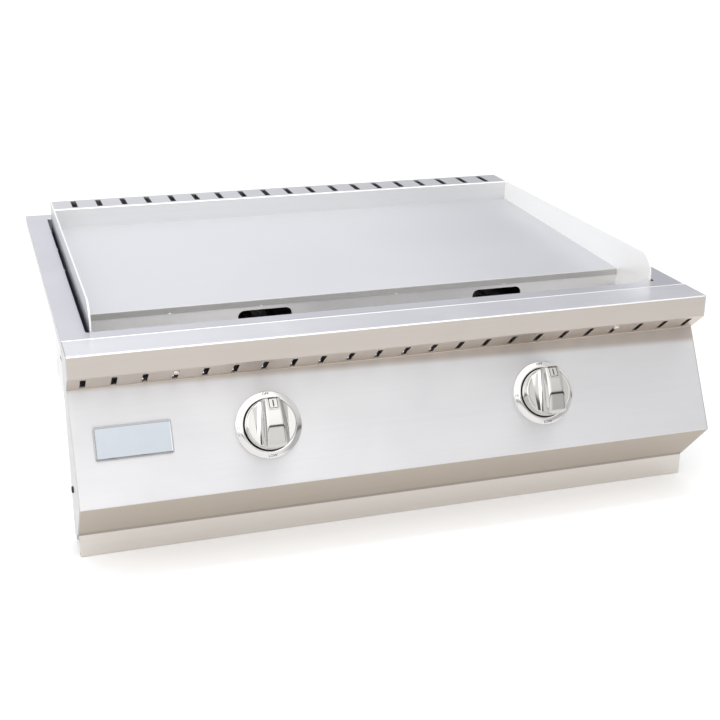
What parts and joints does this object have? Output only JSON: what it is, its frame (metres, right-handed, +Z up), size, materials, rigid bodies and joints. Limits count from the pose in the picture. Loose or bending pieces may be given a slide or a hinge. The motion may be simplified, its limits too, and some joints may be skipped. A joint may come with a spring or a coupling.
{
  "type": "built-in gas griddle",
  "caption": "Built-in gas griddle: sloping steel plate with splash walls, slotted flue ledge and grease gutter, over a slanted control panel with push-and-turn knobs.",
  "frame": {"origin": "middle of the base pan's underside", "axes": "+X to the right seen from the front, +Y to the back, +Z up"},
  "size_m": [0.7664, 0.6759, 0.2775],
  "materials": {
    "brushed_steel": "brushed",
    "griddle_steel": "satin",
    "firebox_steel": "mill",
    "burner_steel": "mill",
    "plated_steel": "plated",
    "brass": "turned",
    "chrome": "polished",
    "satin_chrome": "satin",
    "screw_steel": "plain",
    "black_steel": "blackened",
    "igniter_plastic": "moulded",
    "ceramic": "glazed",
    "lead_rubber": "matte"
  },
  "bodies": {
    "housing": {"base_pan": "firebox_steel", "bezel_screws": "screw_steel", "bulkhead": "brushed_steel", "burner_crossbar": "burner_steel", "cap_screws": "black_steel", "control_panel": "brushed_steel", "front_rail": "brushed_steel", "heat_shield": "firebox_steel", "inlet_coupling": "brass", "inlet_pipe": "plated_steel", "kick_plate": "brushed_steel", "left_bezel": "satin_chrome", "left_burner": "burner_steel", "left_electrode": "ceramic", "left_end_cap": "brushed_steel", "left_firebox_wall": "firebox_steel", "left_igniter_lead": "lead_rubber", "left_orifice": "brass", "left_piezo": "igniter_plastic", "left_support_rail": "firebox_steel", "left_tray_bracket": "firebox_steel", "left_valve_body": "brass", "left_valve_cover": "plated_steel", "manifold": "plated_steel", "manifold_cap": "plated_steel", "manifold_gussets": "plated_steel", "nameplate": "satin_chrome", "rail_screws": "screw_steel", "rear_firebox_wall": "firebox_steel", "right_bezel": "satin_chrome", "right_burner": "burner_steel", "right_electrode": "ceramic", "right_end_cap": "brushed_steel", "right_firebox_wall": "firebox_steel", "right_igniter_lead": "lead_rubber", "right_orifice": "brass", "right_piezo": "igniter_plastic", "right_support_rail": "firebox_steel", "right_tray_bracket": "firebox_steel", "right_valve_body": "brass", "right_valve_cover": "plated_steel", "top_frame": "brushed_steel", "wall_screws": "screw_steel"},
    "griddle_top": {"front_apron": "griddle_steel", "griddle_plate": "griddle_steel", "left_splash": "griddle_steel", "plate_stiffeners": "griddle_steel", "rear_splash": "griddle_steel", "right_splash": "griddle_steel"},
    "tray": {"grease_tray": "firebox_steel"},
    "left_plug": {"left_valve_plug": "brass", "left_return_spring": "plated_steel"},
    "left_knob_set": {"left_knob": "chrome", "left_stem": "plated_steel"},
    "left_shutter": {"left_air_shutter": "burner_steel"},
    "right_plug": {"right_valve_plug": "brass", "right_return_spring": "plated_steel"},
    "right_knob_set": {"right_knob": "chrome", "right_stem": "plated_steel"},
    "right_shutter": {"right_air_shutter": "burner_steel"}
  },
  "joints": [
    {"name": "griddle_lift", "type": "slide", "parent": "housing", "child": "griddle_top", "axis": [0, 0, 1], "range_m": [0, 0.12]},
    {"name": "tray_lift", "type": "slide", "parent": "housing", "child": "tray", "axis": [0, 0, 1], "range_m": [0, 0.11]},
    {"name": "left_knob_turn", "type": "hinge", "parent": "housing", "child": "left_plug", "pos_m": [-0.167, -0.33374, 0.14417], "axis": [0, -0.885, 0.4657], "range_deg": [0, 180]},
    {"name": "left_knob_push", "type": "slide", "parent": "left_plug", "child": "left_knob_set", "axis": [0, 0.885, -0.4657], "range_m": [0, 0.0045], "stiffness_N_per_m": 3000, "springref_m": -0.002, "deforming": ["left_return_spring"]},
    {"name": "left_shutter_turn", "type": "hinge", "parent": "housing", "child": "left_shutter", "pos_m": [-0.167, -0.27794, 0.1302], "axis": [0, 1, 0], "range_deg": [0, 75]},
    {"name": "right_knob_turn", "type": "hinge", "parent": "housing", "child": "right_plug", "pos_m": [0.167, -0.33374, 0.14417], "axis": [0, -0.885, 0.4657], "range_deg": [0, 180]},
    {"name": "right_knob_push", "type": "slide", "parent": "right_plug", "child": "right_knob_set", "axis": [0, 0.885, -0.4657], "range_m": [0, 0.0045], "stiffness_N_per_m": 3000, "springref_m": -0.002, "deforming": ["right_return_spring"]},
    {"name": "right_shutter_turn", "type": "hinge", "parent": "housing", "child": "right_shutter", "pos_m": [0.167, -0.27794, 0.1302], "axis": [0, 1, 0], "range_deg": [0, 75]}
  ]
}
